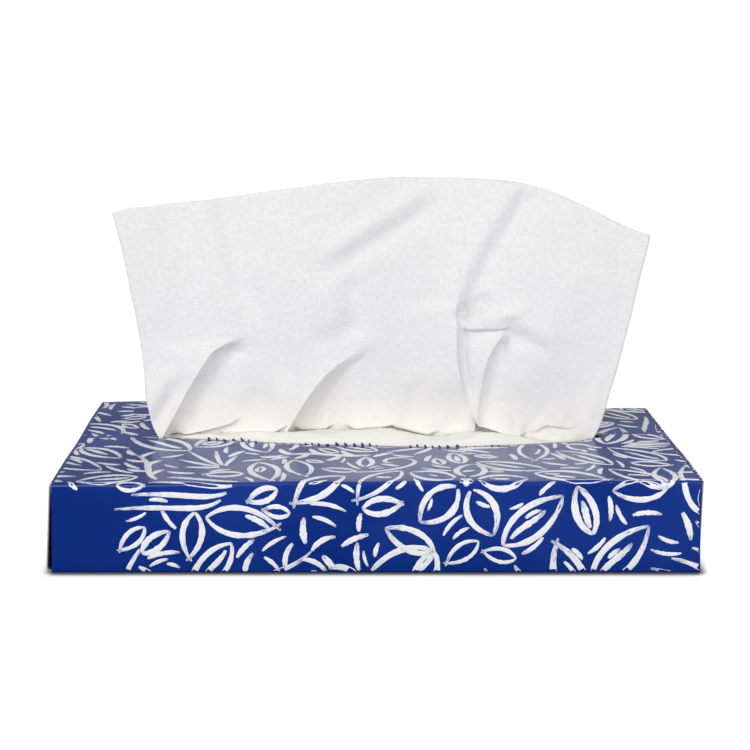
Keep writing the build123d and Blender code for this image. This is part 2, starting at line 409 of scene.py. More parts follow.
def flap_grids():
    """Grids of the four end flaps and the four dust flaps behind them."""
    end, half, top = carton_size()
    across = np.linspace(FLAP_SIDE_GAP - half, half - FLAP_SIDE_GAP, 60)
    grids = [on_flap(name, across, run_rows(table, 2.0)[:, None]) for name, table in flap_tables().items()]
    heights = np.linspace(DUST_FLAP_GAP, top - DUST_FLAP_GAP, 12)
    for side in (-1, 1):
        for facing in (-1, 1):
            fold = side * (end - DUST_FLAP_SET_IN)
            corners = (
                (side * (end - PANEL_SET_IN), facing * half),
                (fold, facing * half),
                (fold, facing * (half - DUST_FLAP_LENGTH)),
            )
            table = run_table(corners, DUST_FOLD_RADIUS)
            x, y, _, _ = read_run(table, run_rows(table, 4.0))
            grids.append(settle(spread(x[:, None], y[:, None], heights)))
    return grids


def tabs_mesh():
    """Torn tabs along the front edge of the opening, bent up by the tissue: a strip whose height is a
    sharpened wave in clusters, with nothing between the tabs."""
    x = np.arange(*TAB_SPAN, TAB_STEP)
    cluster = blend(-0.55, 0.3, swirl(x, 0, 24, 26)) * (0.35 + 0.65 * (1 - blend(28, 34, x)))
    height = TAB_HEIGHT * cluster * np.clip(np.sin(tear_phase(x, 3)) - 0.05, 0, 1) ** 0.8
    height = height * (0.75 + 0.3 * swirl(x, 0, 25, 2.7))
    fold, fold_y = wrap_table()[fold_row(2, FOLD_STEPS - 1), :2]
    foot = on_wrap(x, fold + opening_edges(x)[0] - fold_y - 0.2, 0.02)
    t = np.linspace(0, 1, 5)[:, None, None]
    points = foot + t**1.3 * height[None, :, None] * np.array(TAB_BEND)
    faces = grid_faces(len(t), len(x))
    faces = faces[np.tile(height, len(t))[faces].min(1) > TAB_LEAST]
    used, renumbered = np.unique(faces, return_inverse=True)
    return points.reshape(-1, 3)[used], renumbered.reshape(-1, 4)


# Print


def curves(*rows):
    """Brush strokes: for each the four control points of a cubic curve, written as eight numbers."""
    return [np.array(row, float).reshape(4, 2) for row in rows]


def turned(strokes, angle, move=(0.0, 0.0), scale=1.0):
    """Strokes scaled, turned by an angle in degrees and moved."""
    c, s = math.cos(math.radians(angle)), math.sin(math.radians(angle))
    spin = np.array([[c, s], [-s, c]])
    return [scale * stroke @ spin + np.array(move) for stroke in strokes]


def both_sides(strokes):
    """Strokes and their reflections over the long axis."""
    return strokes + [stroke * np.array([1.0, -1.0]) for stroke in strokes]


def sprig_strokes():
    """Bent stem with short leaves on both sides and one at its tip."""
    blade = curves((0, 0, 0.08, 0.05, 0.2, 0.06, 0.3, 0))
    strokes = curves((0, 0, 0.35, 0.16, 0.75, -0.14, 1.2, 0.06))
    places = ((0.2, 0.05), (0.42, 0.05), (0.64, 0.0), (0.86, -0.02), (1.06, 0.01))
    for number, place in enumerate(places):
        strokes += turned(blade, 52 if number % 2 else -52, place)
    return strokes + turned(blade, 8, (1.2, 0.06))


def rosette_strokes():
    """Five outline petals round a ring of dots."""
    petal = both_sides(curves((0.16, 0.02, 0.32, 0.24, 0.6, 0.22, 0.78, 0)))
    dot = curves((0, 0, 0.03, 0.01, 0.06, 0.01, 0.09, 0))
    strokes = []
    for angle in range(0, 360, 72):
        strokes += turned(petal, angle) + turned(dot, angle + 36)
    return strokes


def tuft_strokes():
    """Five blades of grass from one root."""
    blade = curves((0.1, 0, 0.3, 0.05, 0.6, 0.02, 0.9, -0.02))
    strokes = []
    for angle, reach in ((-52, 0.62), (-25, 0.85), (0, 1.0), (26, 0.8), (54, 0.6)):
        strokes += turned(blade, angle, scale=reach)
    return strokes


def reed_strokes():
    """Four long bent strokes that spread from one end to the other, each longer than the last."""
    return curves(*[
        (0.05 * n, 0.1 * n, 0.35, 0.16 * n + 0.05, 0.7, 0.17 * n - 0.05, 0.9 + 0.16 * n, 0.22 * n)
        for n in range(4)
    ])


def motifs():
    """Large and small motifs, each an array of strokes. Some come more than once, to fall more often."""
    outline = both_sides(curves((0, 0, 0.24, 0.27, 0.7, 0.26, 1.05, 0)))
    leaf = outline + curves((0.14, 0, 0.35, 0.05, 0.5, -0.03, 0.74, 0))
    open_leaf = both_sides(curves((0, 0, 0.24, 0.27, 0.66, 0.25, 1, -0.05)))
    fan = turned(outline, 0, scale=0.95) + turned(outline, 48, scale=0.72) + turned(outline, -48, scale=0.72)
    ray = curves((0.56, 0, 0.66, 0.02, 0.74, -0.02, 0.84, 0))
    pod = both_sides(curves((0, 0, 0.12, 0.3, 0.42, 0.34, 0.6, 0.16)))
    pod += curves((-0.36, 0.1, -0.2, 0.08, -0.1, 0, 0, 0)) + ray + turned(ray, 22) + turned(ray, -22)
    tendril = curves(
        (-0.4, -0.1, 0.2, -0.28, 0.74, 0.02, 0.46, 0.34), (0.46, 0.34, 0.26, 0.5, 0.02, 0.28, 0.24, 0.14)
    )
    tendril += turned(outline, 150, (-0.36, -0.06), 0.45)
    stroke = curves((0, 0, 0.3, 0.1, 0.6, 0.1, 0.9, 0))
    pair = stroke + turned(stroke, -12, (0.12, -0.3), 0.7)
    tick = curves((0, 0, 0.22, 0.07, 0.5, 0.07, 0.74, 0))
    reed = reed_strokes()
    large = (
        [leaf, sprig_strokes(), rosette_strokes(), fan, pod, reed, tendril, open_leaf]
        + [leaf, tuft_strokes(), open_leaf, reed]
    )
    small = [open_leaf, pair, tick, tick, open_leaf]
    return [np.array(motif) for motif in large], [np.array(motif) for motif in small]


def stroke_points(strokes, steps):
    """Points along cubic strokes, all at the same shares of each."""
    t = np.linspace(0, 1, steps)[None, :, None]
    p0, p1, p2, p3 = (strokes[:, corner, None] for corner in range(4))
    return p0 * (1 - t) ** 3 + 3 * p1 * t * (1 - t) ** 2 + 3 * p2 * t**2 * (1 - t) + p3 * t**3


def paint_rectangle(lowest, highest, seed, bare=None):
    """Strokes over a rectangle, with a bare rectangle in it. Motifs fall at random places and turns, large
    ones first and ever smaller ones after, and stay where they keep a gap from all strokes before them. The
    taken ground is kept as a grid of small cells."""
    random = np.random.default_rng(seed)
    inks = bpy.context.scene.tissue_box_print
    size, gap = inks.motif_size / MM, inks.stroke_gap / MM
    lowest, highest = np.array(lowest, float), np.array(highest, float)
    margin = size + gap
    taken = np.zeros(np.ceil((highest - lowest + 2 * margin) / GROUND_CELL).astype(int), bool)
    if bare is not None:
        (left, low), (right, high) = ((np.array(bare) - lowest + margin) / GROUND_CELL).astype(int)
        taken[left:right, low:high] = True
    reach = int(gap / GROUND_CELL)
    around = np.stack(np.meshgrid(*[np.arange(-reach, reach + 1)] * 2), -1).reshape(-1, 2)
    around = around[np.hypot(*around.T) <= reach]
    large, small = motifs()
    strokes, weights = [], []
    for number in range(PRINT_TRIES):
        late = number / PRINT_TRIES
        choice, share = (large, 1 - 1.5 * late) if late < LARGE_SHARE else (small, 0.62 - 0.4 * late)
        shape = choice[int(random.integers(len(choice)))]
        scale = size * share * random.uniform(0.85, 1.1)
        new = np.array(turned(shape, random.uniform(0, 360), (0, 0), scale))
        new = new - new.reshape(-1, 2).mean(0) + random.uniform(lowest, highest)
        cells = ((stroke_points(new, 12).reshape(-1, 2) - lowest + margin) / GROUND_CELL).astype(int)
        if taken[cells[:, 0], cells[:, 1]].any():
            continue
        marked = (cells[:, None] + around).reshape(-1, 2)
        taken[marked[:, 0], marked[:, 1]] = True
        strokes += list(new)
        weights += [random.uniform(0.8, 1.25) * (1 - 0.35 * late)] * len(new)
    return np.array(strokes), np.array(weights)


def brush_ribbons(strokes, weights, seed, steps=34):
    """Ribbons along cubic strokes. Their half width is a power of half a sine wave, uneven at random, and
    their section is four points across, the outer two sunk into the board. Gives places across a panel,
    lifts, and a texture position of distance, side and share of the stroke for each point."""
    random = np.random.default_rng(seed)
    inks = bpy.context.scene.tissue_box_print
    middle = stroke_points(strokes, steps)
    ahead = np.gradient(middle, axis=1)
    length = np.linalg.norm(ahead, axis=2)
    side = np.stack([-ahead[..., 1], ahead[..., 0]], -1) / np.maximum(length, 1e-6)[..., None]
    shape = np.sin(np.pi * np.linspace(0.05, 0.97, steps)) ** 0.45
    uneven = 1 + 0.13 * random.standard_normal((len(strokes), steps))
    uneven = (uneven + np.roll(uneven, 1, 1) + np.roll(uneven, -1, 1)) / 3
    half = inks.stroke_width / MM / 2 * weights[:, None] * shape[None] * uneven
    across = np.array([-1.0, -0.72, 0.72, 1.0])
    place = middle[:, :, None] + side[:, :, None] * (half[..., None] * across)[..., None]
    lift = np.broadcast_to(np.array([-0.04, 1.0, 1.0, -0.04]) * inks.ink_height / MM, place.shape[:-1])
    shift = random.uniform(0, 400, len(strokes))[:, None, None]
    run = np.cumsum(length, axis=1)[..., None] + shift
    return place, lift, spread(run, across + 3 * np.floor(shift), np.linspace(0, 1, steps)[None, :, None])


def facing_out(points, faces):
    """Faces in the order that makes each look out of the carton, judged on its normal's largest part."""
    a, b, c = (points[faces[:, corner]] for corner in (0, 1, 3))
    normals = np.cross(b - a, c - a)
    outward = a - np.array([0.0, 0.0, carton_size()[2] / 2])
    axis = np.abs(normals).argmax(1)
    rows = np.arange(len(faces))
    wrong = normals[rows, axis] * outward[rows, axis] < 0
    return np.where(wrong[:, None], faces[:, ::-1], faces)


def print_mesh():
    """Points, faces and texture positions of the print on the wrap and on the two outer end flaps. Faces
    are left out where they pass a panel's edge or lie over the opening."""
    half_length, half_depth, height = carton_size()
    seed = bpy.context.scene.tissue_box_print.seed
    table = wrap_table()
    edge = half_length - PANEL_SET_IN
    panels = [("wrap", edge, PRINT_BOTTOM_GAP - height, table[-1, 0] - PRINT_SEAM_GAP)]
    for name, flap in flap_tables().items():
        if name.endswith("outer"):
            panels.append((name, half_depth - FLAP_SIDE_GAP, 0.0, flap[-1, 0]))
    all_points, all_faces, all_texture, start = [], [], [], 0
    for number, (name, edge, low, high) in enumerate(panels):
        bare = ((-edge - 6, low + BARE_LOW), (BARE_REACH - edge, BARE_TOP)) if name == "wrap" else None
        lowest = (-edge - PAINT_OVERLAP, low - PAINT_OVERLAP)
        highest = (edge + PAINT_OVERLAP, high + PAINT_OVERLAP)
        strokes, weights = paint_rectangle(lowest, highest, seed + number, bare)
        place, lift, texture = brush_ribbons(strokes, weights, seed + number)
        across, distance = place[..., 0], place[..., 1]
        keep = (distance > low) & (distance < high - PRINT_SIDE_GAP)
        keep &= np.abs(across) < edge - PRINT_SIDE_GAP
        if name == "wrap":
            points = on_wrap(across, distance, lift)
            front_edge, back_edge = opening_edges(across)
            y = np.interp(distance, table[:, 0], table[:, 1])
            on_top = (distance > 0) & (distance < half_depth * 2 - 1)
            keep &= ~(on_top & (y > front_edge - PRINT_TEAR_GAP) & (y < back_edge + PRINT_TEAR_GAP))
        else:
            points = on_flap(name, across, distance, lift)
        count, steps, columns = across.shape
        faces = grid_faces(steps, columns) + (np.arange(count) * steps * columns)[:, None, None]
        faces = faces.reshape(-1, 4)
        flat = points.reshape(-1, 3)
        faces = facing_out(flat, faces[keep.ravel()[faces].all(1)])
        used, renumbered = np.unique(faces, return_inverse=True)
        all_points.append(flat[used])
        all_texture.append(texture.reshape(-1, 3)[used])
        all_faces.append(renumbered.reshape(-1, 4) + start)
        start += len(used)
    return np.vstack(all_points), np.vstack(all_faces), np.vstack(all_texture)


# Tissues

# Lines of the pulled tissue on a plane through the middle of the box, as the camera sees them: tables of
# height and place, and for the top edge of place and height
LEFT_EDGE = ((28.6, -80.3), (34.5, -83.6), (39.1, -86.2), (49, -87.9), (60.9, -88.3), (74.4, -89.7),
             (97.4, -93.5), (121.5, -98.4), (135.4, -100.8))
RIGHT_EDGE = ((28.3, 82.1), (34.5, 84.8), (39.3, 86.5), (49.1, 89.2), (61, 92.3), (76.6, 95.8),
              (95.8, 99.6), (113, 102.9), (135.2, 105.2))
TOP_EDGE = ((-97.4, 120.1), (-95.4, 122.3), (-84.2, 123.7), (-65.5, 125.8), (-46.9, 128.5),
            (-28.3, 131), (-9.7, 133.2), (8.8, 134.4), (27.4, 134.4), (46, 132.9), (57.2, 130.7),
            (68.5, 126.3), (83.7, 119.6), (95.1, 115.1), (103.4, 112.6))

# Pleats: share across the sheet, crease line, heights over which it starts and ends, step, lap, run-up in
# front, run-out behind and width of the fold
PLEATS = (
    (0.15, ((28.6, -84.4), (34.5, -81.9), (52.3, -72.2), (60.8, -67), (67.9, -62.3), (70.3, -59.5),
            (72, -54.8), (89.8, -57.3), (135.4, -67.2)),
     (20, 28), (66, 74), 7.2, 1.6, 12, 6.5, 5.5),
    (0.4, ((28.4, -37.9), (37.1, -33.8), (45.2, -29), (52.4, -24.4), (58.9, -19.3), (64.5, -13),
            (67.4, -8.5), (73.9, -2.8), (94.7, -5.8), (135.4, -16.7)),
     (20, 28), (47, 73), 9.2, 2, 14, 9.5, 6.5),
    (0.625, ((28.4, 35.7), (41.2, 35.3), (50.2, 33.9), (57, 32.5), (65, 30.9), (84.3, 30.6),
            (99.6, 29.8), (135.3, 28.8)),
     (44, 58), (84, 88.5), 5.2, 1, 11, 3.2, 3.6),
    (0.7, ((28.4, 37.1), (39.3, 38.4), (47.2, 39.3), (55.1, 40.5), (61, 41.6), (65.9, 43),
            (69.9, 45.1), (75.8, 48.8), (89.7, 49.6), (135.3, 48.2)),
     (30, 38), (70, 78), 4.4, 1, 7, 4.6, 3.8),
)

# Dents: start, end, half width, depth and kind
DENTS = (
    ((-16, 103.6), (18, 125.3), 4.8, 1.3, "step"),
    ((33, 87), (41, 107), 5, 2, "step"),
    ((41.5, 108), (54.5, 130), 5.4, 2.1, "step"),
    ((-24, 73), (-8, 77.5), 5, 1, "valley"),
    ((-12, 76), (-14, 94), 7, 1.3, "step"),
    ((-40, 56), (-52, 88), 7, 1.7, "step"),
    ((-87, 40), (-76, 58), 5, 1.5, "step"),
    ((33.7, 77.3), (49.8, 77.7), 3.4, 1.3, "shelf"),
    ((34.8, 78.8), (55.5, 84.3), 2.8, -1.5, "valley"),
    ((31.3, 81.3), (41.7, 88.2), 2.2, 2.9, "valley"),
    ((49.6, 75.8), (48.8, 62), 1.3, 1.3, "valley"),
    ((49.6, 79.8), (65.4, 70.9), 4, 0.8, "step"),
    ((-57.3, 68.5), (-49.4, 67.5), 2.6, 1.2, "valley"),
    ((-48.8, 79.9), (-42, 52.2), 3.4, 0.8, "step"),
    ((-53.5, 91), (-60, 126), 7, 1.6, "step"),
    ((-75, 35.8), (-53.2, 42), 2.6, 2.33, "shelf"),
    ((-58.2, 36.5), (-35.5, 39.1), 2.6, 2.79, "shelf"),
    ((-28.5, 38.5), (-17.7, 39.3), 2.6, 2.33, "shelf"),
    ((-9.8, 39.3), (6, 40.9), 2.6, 2.79, "shelf"),
    ((6, 40.9), (21.8, 36), 2.6, 2.63, "shelf"),
    ((38.6, 42.7), (56.4, 36), 2.6, 4, "shelf"),
    ((51.5, 37.2), (49.1, 46.2), 1.8, -1.2, "valley"),
    ((60.4, 36.3), (65.8, 39.8), 1.8, 1, "shelf"),
    ((65.8, 39.8), (75.2, 38.3), 1.8, 1, "shelf"),
    ((8, 37.3), (13.9, 56.1), 5, 0.8, "step"),
    ((81.2, 36.2), (86.1, 57.9), 3, -0.6, "valley"),
    ((59.4, 50.2), (83.2, 91.6), 12, 0.6, "step"),
)
SHELF_LAP = 0.95

# Slow wave of the standing tissue: its depth, and a number of half waves in a span
WAVE_DEPTH = 2.0
HALF_WAVES = 5
WAVE_SPAN = 208

# Fine crumple: depth all over and more of it low down, height's scale, seed and size
CRUMPLES = ((0.07, 0.1, 0.8, 31, 11), (0.035, 0.05, 1.0, 32, 5.5))

# Rows up the standing tissue: start, end and spacing of each span
ROW_SPANS = ((0, 3, 0.75), (3, 15, 0.42), (15, 42, 1.1), (42, 54, 0.5), (54, 106, 1.3))

# Swell of the next tissue: place along the opening and share of its height
SWELL = ((-104, 0.0), (-88, 0.05), (-82, 0.42), (-75, 0.6), (-66, 0.74), (-57, 0.8), (-44, 0.9),
         (-33, 0.82), (-18, 0.88), (4, 0.96), (12, 0.84), (20, 0.64), (29, 0.66), (40, 0.88), (50, 0.82),
         (56, 0.58), (64, 0.5), (72, 0.42), (80, 0.3), (88, 0.05), (104, 0.0))
SWELL_HEIGHT = 11.2

# Gap between the swell and what stands around it, its least depth, and the run of the ramp before it
SWELL_GAP = 0.9
SWELL_LEAST = 4.2
SWELL_RAMP = 6
# Section of the swell: share of its depth and share of its height
SWELL_SECTION = ((0.0, 0.4), (0.06, 0.66), (0.18, 0.84), (0.36, 0.95), (0.6, 1.0), (0.82, 0.94),
                 (0.94, 0.8), (1.0, 0.5))


def dented(x, z, start, end, width, depth, kind):
    """Depth and drop of one dent at places on the standing tissue: a profile over the distance from its
    line, times an eased window along it. A valley is a bell curve and a step the slope of one. A shelf
    swells forward above its line, falls back below it, and hangs over its own foot."""
    start, end = np.array(start, float), np.array(end, float)
    reach = np.hypot(*(end - start))
    run = (end - start) / reach
    along = ((x - start[0]) * run[0] + (z - start[1]) * run[1]) / reach
    off = ((x - start[0]) * run[1] - (z - start[1]) * run[0]) / width
    if kind == "shelf":
        window = blend(-0.12, 0.15, along) * (1 - blend(0.85, 1.12, along))
        below = blend(-0.2, 0.3, off)
        profile = 0.8 * below * np.exp(-np.abs(off) / 1.8) - (1 - below) * np.exp(-np.abs(off) / 1.3)
        return depth * window * profile, SHELF_LAP * depth * window * mound(off, -0.25, 0.55)
    window = blend(-0.25, 0.12, along) * (1 - blend(0.85, 1.25, along))
    profile = (1 if kind == "valley" else 2.0 * off) * np.exp(-(off**2))
    return depth * window * profile, 0.0


def sheet_columns():
    """Shares across the pulled tissue: evenly spaced, and closer together at the creases of its pleats."""
    width = bpy.context.scene.tissue_box_tissue.width / MM
    even = np.linspace(0, 1, int(width / SHEET_PITCH))
    close = [pleat[0] + np.linspace(-1.2, 1.4 * pleat[-1], 18) / width for pleat in PLEATS]
    return np.unique(np.round(np.concatenate([even, *close]), 5))


def sheet_rows():
    """Shares up the standing tissue, closer together at its foot and at the shelf in its right half."""
    top = ROW_SPANS[-1][1]
    return np.concatenate([*[np.arange(*span) for span in ROW_SPANS], [top]]) / top


def standing_sheet(share, rise):
    """Standing half of the pulled tissue. Across, a place is blended between the left edge, the creases and
    the right edge at its height. In depth it is a lean and a slow wave, plus pleats and dents. A pleat
    swells forward up to its crease, folds back under it, and comes out behind it. Last, each point moves
    along the camera's view until its depth is reached."""
    knots = [0.0, *[pleat[0] for pleat in PLEATS], 1.0]
    top_x = LEFT_EDGE[-2][1] * (1 - share) + RIGHT_EDGE[-2][1] * share
    z = FOOT_HEIGHT + rise * (smooth_table(top_x, TOP_EDGE, 3) - FOOT_HEIGHT)
    places = [smooth_table(z, line, 2.0) for line in (LEFT_EDGE, *[pleat[1] for pleat in PLEATS], RIGHT_EDGE)]
    x = sum(np.interp(share, knots, knot) * place for knot, place in zip(np.eye(len(knots)), places))
    climb = np.clip((z - 33) / 102, 0, 1)
    y = OPENING_CENTRE[1] + FOOT_BULGE * opening_share(x) * (1 - blend(0, 0.3, climb))
    y = y + WAVE_DEPTH * climb * np.sin(HALF_WAVES * np.pi * x / WAVE_SPAN)
    y = y + 0.7 * swirl(x, 0.35 * z, 11, 70) * blend(34, 80, z)
    shift, fall = 0.0, 0.0
    for (_, _, low, high, step, lap, run_up, run_out, fold), place in zip(PLEATS, places[1:-1]):
        off = x - place
        strength = blend(*low, z) * (1 - blend(*high, z))
        before = -0.5 * np.exp(np.minimum(off, 0) / run_up)
        behind = np.exp(-np.maximum(off - fold, 0) / run_out)
        y = y + step * strength * np.where(off < 0, before, (blend(0, fold, off) - 0.5) * behind)
        shift = shift - lap * strength * np.sin(np.pi * np.clip(off / fold, 0, 1))
    for dent in DENTS:
        depth, drop = dented(x, z, *dent)
        y = y + depth
        fall = fall + drop
    low_down = 1 - blend(34, 58, z)
    for depth, more, scale, seed, size in CRUMPLES:
        y = y + (depth + more * low_down) * swirl(x, z * scale, seed, size, 24)
    x = x + shift + 0.12 * (mound(share, 0, 0.02) + mound(share, 1, 0.02)) * swirl(z, 0, 34, 22)
    z = z - fall + 0.12 * mound(rise, 1, 0.02) * swirl(x, 0, 35, 26)
    reach = 1 + y / -CAMERA_PLACE[1]
    x = CAMERA_PLACE[0] + (x - CAMERA_PLACE[0]) * reach
    return spread(x, y, z + (CAMERA_PLACE[2] - z) * (1 - reach) * blend(30, 40, z))


def hidden_sheet(x, corners, radius):
    """Grid of a sheet's part inside the box: a rounded run in Y and Z, the same at every place across."""
    table = run_table(corners, radius)
    y, z, _, _ = read_run(table, run_rows(table, HIDDEN_PITCH))
    return spread(x, y[:, None], z[:, None])


def sheet_texture(grid, across):
    """Texture positions of a sheet: places across it, and mean distances along it from its first row."""
    steps = np.linalg.norm(np.diff(grid, axis=0), axis=2).mean(1)
    return spread(across, np.concatenate([[0], np.cumsum(steps)])[:, None])


def pulled_sheet():
    """Whole pulled tissue in one grid: its tail on the next one, a loop back over the pile, a run to the
    foot of the standing half, and the standing half. Gives its texture positions too."""
    half = bpy.context.scene.tissue_box_tissue.width / MM / 2
    share = sheet_columns()
    x = (2 * share - 1) * half
    loop = ((LOOP_REACH, TAIL_HEIGHT), (LOOP_REACH, FOOT_HEIGHT))
    tail = hidden_sheet(x, ((-HEM_REACH, TAIL_HEIGHT), *loop, (FOOT_START, FOOT_HEIGHT)), TAIL_FOLD_RADIUS)
    standing = standing_sheet(share[None], sheet_rows()[:, None])
    way = np.linspace(0, 1, 12)[1:-1, None, None]
    back = tail[-1] * (1 - way) + standing[0] * way
    uneven = 0.25 * swirl(back[..., 0], back[..., 1], 51, 12)
    back[..., 2] = FOOT_HEIGHT + uneven * np.sin(np.pi * way[..., 0])
    grid = np.concatenate([tail, back, standing])
    return grid, sheet_texture(grid, x + half)


def next_sheet():
    """Next tissue in one grid: its lower half on the pile, the fold at the front, and the upper half as far
    as a puckered swell in the opening, whose height follows a table along it. Gives its texture positions
    too."""
    half = bpy.context.scene.tissue_box_tissue.width / MM / 2
    x = np.linspace(-half, half, 200)
    fold = ((-PILE_HALF_DEPTH, NEXT_LOWER), (-PILE_HALF_DEPTH, NEXT_UPPER))
    lower = hidden_sheet(x, ((HEM_REACH, NEXT_LOWER), *fold, (NEXT_START, NEXT_UPPER)), NEXT_FOLD_RADIUS)
    within = opening_share(x)
    rear = OPENING_CENTRE[1] - SWELL_GAP + FOOT_BULGE * within
    front = np.minimum(OPENING_CENTRE[1] - OPENING_SAG * within + SWELL_GAP, rear - SWELL_LEAST)
    rise = smooth_table(x, SWELL, 4) * SWELL_HEIGHT
    t = np.linspace(0, 1, 11)[1:, None]
    flat = spread(x, NEXT_START * (1 - t) + (front - SWELL_RAMP) * t, NEXT_UPPER)
    t = np.linspace(0, 1, 7)[1:-1, None]
    z = NEXT_UPPER + rise * SWELL_SECTION[0][1] * blend(0, 1, t) ** 1.5
    ramp = spread(x, front - SWELL_RAMP + SWELL_RAMP * t, z)
    t = np.linspace(0, 1, 26)[:, None]
    y = front + (rear - front) * t
    z = NEXT_UPPER + rise * smooth_table(t, SWELL_SECTION, 0.03)
    pucker = blend(0.0, 0.5, t) * np.minimum(rise / 5, 1)
    y = y + pucker * 0.3 * swirl(x, z, 61, 12)
    z = z + pucker * (0.28 * swirl(x, 2 * y, 62, 17) + 0.1 * swirl(x, y, 63, 5))
    grid = np.concatenate([lower, flat, ramp, spread(x, y, z)])
    return grid, sheet_texture(grid, x + half)


def pile_grids():
    """Pile of folded tissues: a closed section carried along the box, its front and back scalloped into
    folds by the size of a wave, and two flat ends that share its outline."""
    half = bpy.context.scene.tissue_box_tissue.width / MM / 2
    bottom = bpy.context.scene.tissue_box_carton.board / MM
    up = np.linspace(0, 1, PILE_FOLDS * 8 + 1)
    side = PILE_HALF_DEPTH - PILE_SET_IN + PILE_SCALLOP * np.abs(np.sin(np.pi * PILE_FOLDS * up)) ** 0.6
    height = bottom + (PILE_TOP - bottom) * up
    across = np.linspace(-1, 1, 24)[1:-1]
    front, back = spread(-side, height), spread(side, height)[::-1]
    top, under = spread(across * side[-1], PILE_TOP), spread(-across * side[0], bottom)
    outline = np.vstack([front, top, back, under, front[:1]])
    x = np.linspace(-half, half, 40)[:, None]
    skin = spread(x, outline[:, 0] + 0.1 * swirl(x, outline[:, 1], 71, 30), outline[:, 1])
    shares = np.linspace(0, 1, 8)[:, None, None]
    ends = [row * (1 - shares) + row * [1, 0, 1] * shares for row in (skin[0], skin[-1])]
    return [skin, *ends]


# Materials

VARNISH = {"IOR": 1.4, "Coat Weight": 0.25, "Coat Roughness": 0.06, "Coat IOR": 1.5}
SOFT_PAPER = {"Specular IOR Level": 0.2, "Sheen Weight": 0.12, "Sheen Roughness": 0.6}


def new_group(name, inputs, outputs):
    """Empty shader node group with named sockets: a kind for each, and a value for a number going in."""
    group = bpy.data.node_groups.new(name, "ShaderNodeTree")
    for title, value in inputs.items():
        kind = "NodeSocketVector" if value is None else "NodeSocketFloat"
        socket = group.interface.new_socket(title, in_out="INPUT", socket_type=kind)
        if value is not None:
            socket.default_value = value
    for title in outputs:
        group.interface.new_socket(title, in_out="OUTPUT", socket_type="NodeSocketFloat")
    return group, group.nodes.new("NodeGroupInput").outputs, group.nodes.new("NodeGroupOutput")


def feed(tree, node, inputs):
    """Link sockets to a node's inputs, and set the others to plain values."""
    for target, value in inputs.items():
        if isinstance(value, bpy.types.NodeSocket):
            tree.links.new(value, node.inputs[target])
        else:
            node.inputs[target].default_value = value


def add(tree, kind, inputs=(), **properties):
    """Add a node, set its properties and feed its inputs."""
    node = tree.nodes.new(kind)
    for name, value in properties.items():
        setattr(node, name, value)
    feed(tree, node, dict(inputs))
    return node


def math_node(tree, operation, *values, clamp=False):
    """Math node on sockets or plain numbers. Gives its output."""
    return add(tree, "ShaderNodeMath", enumerate(values), operation=operation, use_clamp=clamp).outputs[0]


def weighted(tree, *terms):
    """Sum of values, each times a number."""
    total = 0.0
    for value, weight in terms:
        total = math_node(tree, "MULTIPLY_ADD", value, weight, total)
    return total


def noise(tree, vector, scale, detail=2.0, roughness=0.5, distortion=0.0):
    """Noise texture on a position, with one scale or with one for each axis. Gives its value."""
    if isinstance(scale, tuple):
        vector = add(tree, "ShaderNodeMapping", {"Vector": vector, "Scale": scale}).outputs[0]
        scale = 1.0
    inputs = {
        "Vector": vector,
        "Scale": scale,
        "Detail": detail,
        "Roughness": roughness,
        "Distortion": distortion,
    }
    return add(tree, "ShaderNodeTexNoise", inputs).outputs["Fac"]


def ramped(tree, value, low, high, to_low=0.0, to_high=1.0):
    """Value between two numbers, brought to two others and held between them."""
    inputs = {"Value": value, "From Min": low, "From Max": high, "To Min": to_low, "To Max": to_high}
    return add(tree, "ShaderNodeMapRange", inputs, interpolation_type="SMOOTHSTEP").outputs["Result"]


def mixed(tree, share, first, second):
    """Mix of two colours by a share. Each is a socket or a plain colour."""
    colours = [part if isinstance(part, bpy.types.NodeSocket) else (*part, 1.0) for part in (first, second)]
    return add(tree, "ShaderNodeMix", {0: share, 6: colours[0], 7: colours[1]}, data_type="RGBA").outputs[2]


def shaded(colour, share, more=0.0):
    """Plain colour with every channel times a share, and a little more."""
    return tuple(min(channel * share + more, 1) for channel in colour)


def shaders_mixed(tree, share, first, second):
    """Mix of two shaders by a share. Gives its node."""
    return add(tree, "ShaderNodeMixShader", {0: share, 1: first.outputs[0], 2: second.outputs[0]})


def by_ray(tree, seen, glossy, other, output):
    """Show the camera one shader, glossy rays another, and all other rays a third."""
    path = add(tree, "ShaderNodeLightPath").outputs
    rest = shaders_mixed(tree, path["Is Glossy Ray"], other, glossy)
    choice = shaders_mixed(tree, path["Is Camera Ray"], rest, seen)
    feed(tree, tree.nodes[output], {"Surface": choice.outputs[0]})


def crepe_group():
    """Fine crepe of a tissue: short ripples across its length, mottled clumps and loose fibres. Gives a
    height and a shade mask. Its position is in metres along and across the flat sheet."""
    group, given, result = new_group("tissue crepe", {"Position": None}, ("Height", "Shade"))
    position = given["Position"]
    ripple = noise(group, position, (900, 260, 1), 2.0, 0.6, 0.4)
    clumps = noise(group, position, (680, 560, 1), 3.0, 0.55)
    fibres = noise(group, position, (1500, 1900, 1), 2.0, 0.7)
    height = weighted(group, (ripple, 0.55), (clumps, 0.5), (fibres, 0.2))
    feed(group, result, {"Height": height, "Shade": ramped(group, clumps, 0.3, 0.75)})
    return group


